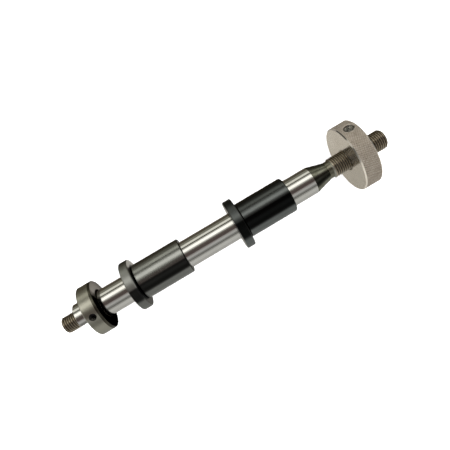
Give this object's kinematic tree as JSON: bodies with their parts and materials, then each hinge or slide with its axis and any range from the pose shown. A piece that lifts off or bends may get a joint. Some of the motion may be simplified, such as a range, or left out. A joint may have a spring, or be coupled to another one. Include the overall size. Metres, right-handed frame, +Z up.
{
  "type": "spool holder spindle",
  "caption": "Two-spool holder spindle: ground shaft with a flatted threaded end, stop collar, flanged bushes and a knurled lock nut.",
  "frame": {"origin": "on the shaft's axis, in the plane where the stop collar's outer face meets the bracket", "axes": "+X along the shaft from the bracket to the lock nut, -Y the way the journal's flat faces, +Z up"},
  "size_m": [0.2074, 0.0394, 0.0394],
  "materials": {
    "ground_steel": "ground and polished, threads left as cut",
    "satin_steel": "satin turned rim, bright faces",
    "black_oxide_steel": "black oxide over a turned surface, lightly oiled",
    "knurled_steel": "fine matt knurl on the rim, turned faces",
    "screw_steel": "black set screw",
    "pad_brass": "plain turned"
  },
  "bodies": {
    "spindle": {"spindle_shaft": "ground_steel"},
    "collar": {"stop_collar": "satin_steel"},
    "collar_screw": {"collar_set_screw": "screw_steel"},
    "rear_bush": {"rear_flanged_bush": "black_oxide_steel"},
    "front_bush": {"front_flanged_bush": "black_oxide_steel"},
    "nut": {"knurled_lock_nut": "knurled_steel", "nut_thread_pad": "pad_brass"},
    "nut_screw": {"nut_set_screw": "screw_steel"}
  },
  "joints": [
    {"name": "collar_slide", "type": "slide", "parent": "spindle", "child": "collar", "axis": [1, 0, 0], "range_m": [-0.0065, 0.0055]},
    {"name": "collar_screw_travel", "type": "slide", "parent": "collar", "child": "collar_screw", "axis": [0, -0.225, 0.9744], "range_m": [0, 0.0021]},
    {"name": "rear_bush_slide", "type": "slide", "parent": "spindle", "child": "rear_bush", "axis": [1, 0, 0], "range_m": [-0.012, 0.015]},
    {"name": "front_bush_slide", "type": "slide", "parent": "spindle", "child": "front_bush", "axis": [1, 0, 0], "range_m": [-0.0165, 0.0145]},
    {"name": "nut_travel", "type": "slide", "parent": "spindle", "child": "nut", "axis": [1, 0, 0], "range_m": [-0.00875, 0.01375]},
    {"name": "nut_screw_travel", "type": "slide", "parent": "nut", "child": "nut_screw", "axis": [0, 0.7193, 0.6947], "range_m": [0, 0.004]}
  ]
}
